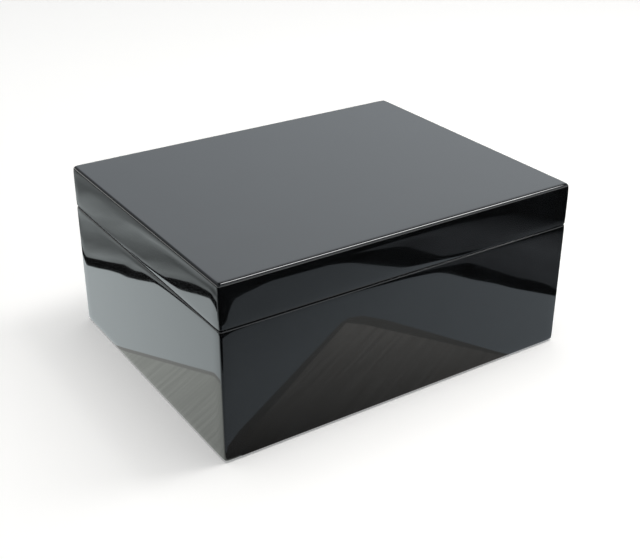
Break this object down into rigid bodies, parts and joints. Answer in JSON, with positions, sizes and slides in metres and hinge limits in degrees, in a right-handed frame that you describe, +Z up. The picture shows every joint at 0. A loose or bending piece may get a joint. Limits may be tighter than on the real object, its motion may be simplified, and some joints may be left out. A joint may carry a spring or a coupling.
{
  "type": "cigar humidor",
  "caption": "Low rectangular black-lacquered box with a flush hinged lid, lined with cedar, with a sliding tray, a divider, a humidifier and a hygrometer inside.",
  "frame": {"origin": "centre of the underside of the closed box, on the table", "axes": "+X from left to right along the box's width, +Y from the front to the hinged back, +Z up"},
  "size_m": [0.26, 0.208, 0.118],
  "materials": {
    "black_lacquer": "high-gloss black polyester lacquer on MDF",
    "spanish_cedar": "sanded bare Spanish cedar",
    "black_felt": "pressed wool felt",
    "polished_brass": "polished",
    "steel_pin": "ground",
    "zinc_steel": "zinc plated",
    "black_abs": "fine moulded texture",
    "wet_foam": "open-cell foam, charged with water",
    "nickel_magnet": "nickel plated",
    "dial_card": "matt ivory enamel",
    "needle_paint": "satin black paint",
    "watch_glass": "clear"
  },
  "bodies": {
    "base": {"base_front_panel": "black_lacquer", "base_back_panel": "black_lacquer", "base_left_panel": "black_lacquer", "base_right_panel": "black_lacquer", "base_bottom_panel": "black_lacquer", "felt_base_pad": "black_felt", "base_floor_liner": "spanish_cedar", "base_front_liner": "spanish_cedar", "base_back_liner": "spanish_cedar", "base_left_liner": "spanish_cedar", "base_right_liner": "spanish_cedar", "tray_rail_front": "spanish_cedar", "tray_rail_back": "spanish_cedar", "base_hinge_leaf_left": "polished_brass", "base_hinge_leaf_right": "polished_brass", "hinge_pin_left": "steel_pin", "hinge_pin_right": "steel_pin", "base_hinge_screws": "polished_brass"},
    "lid": {"lid_top_panel": "black_lacquer", "lid_front_panel": "black_lacquer", "lid_back_panel": "black_lacquer", "lid_left_panel": "black_lacquer", "lid_right_panel": "black_lacquer", "lid_ceiling_liner": "spanish_cedar", "lid_front_liner": "spanish_cedar", "lid_back_liner": "spanish_cedar", "lid_left_liner": "spanish_cedar", "lid_right_liner": "spanish_cedar", "lid_hinge_leaf_left": "polished_brass", "lid_hinge_leaf_right": "polished_brass", "lid_hinge_screws": "polished_brass", "steel_mount_discs": "zinc_steel", "humidifier_case": "black_abs", "humidifier_cover": "black_abs", "humidifier_foam": "wet_foam", "humidifier_magnets": "nickel_magnet", "hygrometer_case": "black_abs", "hygrometer_magnet": "nickel_magnet", "hygrometer_coil": "polished_brass", "hygrometer_dial": "dial_card", "hygrometer_lens": "watch_glass", "hygrometer_bezel": "polished_brass"},
    "quadrant_arm_left": {"quadrant_arm_left": "polished_brass"},
    "quadrant_arm_right": {"quadrant_arm_right": "polished_brass"},
    "needle": {"hygrometer_needle": "needle_paint"},
    "tray": {"tray_floor": "spanish_cedar", "tray_front_wall": "spanish_cedar", "tray_back_wall": "spanish_cedar", "tray_left_wall": "spanish_cedar", "tray_right_wall": "spanish_cedar"},
    "divider": {"divider": "spanish_cedar"}
  },
  "joints": [
    {"name": "lid_hinge", "type": "hinge", "parent": "base", "child": "lid", "pos_m": [0, 0.1025, 0.08885], "axis": [-1, 0, 0], "range_deg": [0, 95]},
    {"name": "quadrant_arm_left_turn", "type": "hinge", "parent": "base", "child": "quadrant_arm_left", "pos_m": [-0.124, 0.1025, 0.08885], "axis": [-1, 0, 0], "range_deg": [0, 57]},
    {"name": "quadrant_arm_right_turn", "type": "hinge", "parent": "base", "child": "quadrant_arm_right", "pos_m": [0.124, 0.1025, 0.08885], "axis": [-1, 0, 0], "range_deg": [0, 57]},
    {"name": "needle_turn", "type": "hinge", "parent": "lid", "child": "needle", "pos_m": [-0.063, 0, 0.095], "axis": [0, 0, 1], "range_deg": [-168, 72]},
    {"name": "tray_slide", "type": "slide", "parent": "base", "child": "tray", "axis": [-1, 0, 0], "range_m": [0, 0.075]},
    {"name": "divider_slide", "type": "slide", "parent": "base", "child": "divider", "axis": [1, 0, 0], "range_m": [-0.082, 0.138]}
  ],
  "couplings": [
    {"joint": "quadrant_arm_left_turn", "follows": "lid_hinge", "ratio": 0.6},
    {"joint": "quadrant_arm_right_turn", "follows": "lid_hinge", "ratio": 0.6}
  ]
}
